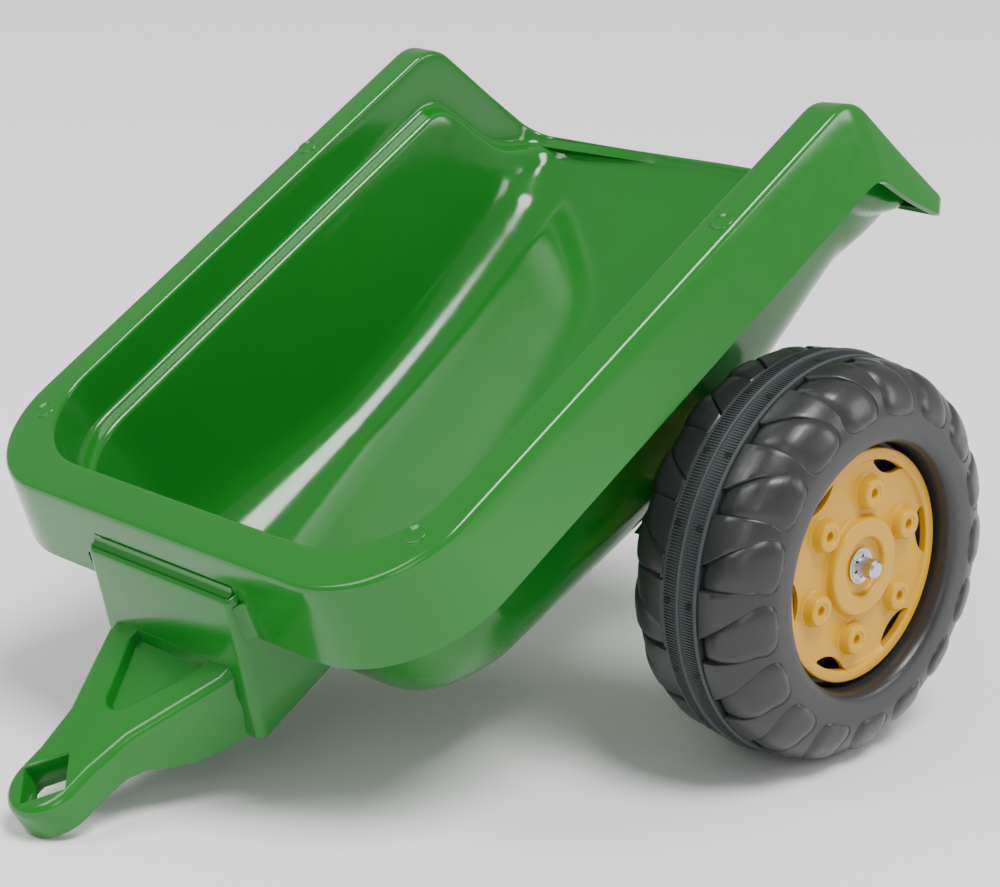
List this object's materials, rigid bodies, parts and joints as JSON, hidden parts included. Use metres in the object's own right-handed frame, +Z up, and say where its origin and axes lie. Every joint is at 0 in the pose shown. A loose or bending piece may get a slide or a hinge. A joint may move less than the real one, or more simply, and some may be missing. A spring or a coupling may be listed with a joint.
{
  "type": "pedal tractor trailer",
  "caption": "Single-axle trailer for a child's pedal tractor: one-piece tub with skirted rim, low pouring lip and drawbar with a square tow eye, on lugged plastic wheels.",
  "frame": {"origin": "on the floor under the middle of the trailer's outline, as it stands unhitched on both wheels and the tip of the tow eye", "axes": "+Z up, -Y towards the tow eye. The wheel at +X is named right and the one at -X left."},
  "size_m": [0.469, 0.5069, 0.3231],
  "materials": {
    "tub_plastic": "glossy injection-moulded polypropylene, green",
    "tyre_plastic": "satin moulded plastic, black",
    "band_rubber": "soft finely ribbed running band, black",
    "disc_plastic": "moulded plastic, yellow",
    "axle_steel": "bright zinc-plated steel",
    "zinc_steel": "bright zinc-plated steel",
    "black_plastic": "extruded plastic tube, black",
    "bush_plastic": "moulded nylon, natural"
  },
  "bodies": {
    "chassis": {"tub_and_drawbar": "tub_plastic", "axle": "axle_steel", "axle_spacer_left": "black_plastic", "axle_spacer_right": "black_plastic", "thrust_washer_left": "zinc_steel", "thrust_washer_right": "zinc_steel", "push_washer_left": "zinc_steel", "push_washer_right": "zinc_steel"},
    "wheel_left": {"tyre_outer_left": "tyre_plastic", "tyre_inner_left": "tyre_plastic", "tread_band_left": "band_rubber", "wheel_disc_outer_left": "disc_plastic", "wheel_disc_inner_left": "disc_plastic", "hub_bush_left": "bush_plastic"},
    "wheel_right": {"tyre_outer_right": "tyre_plastic", "tyre_inner_right": "tyre_plastic", "tread_band_right": "band_rubber", "wheel_disc_outer_right": "disc_plastic", "wheel_disc_inner_right": "disc_plastic", "hub_bush_right": "bush_plastic"}
  },
  "joints": [
    {"name": "wheel_left_spin", "type": "hinge", "parent": "chassis", "child": "wheel_left", "pos_m": [-0.192, 0.10312, 0.105], "axis": [1, 0, 0], "continuous": true},
    {"name": "wheel_right_spin", "type": "hinge", "parent": "chassis", "child": "wheel_right", "pos_m": [0.192, 0.10312, 0.105], "axis": [1, 0, 0], "continuous": true}
  ]
}
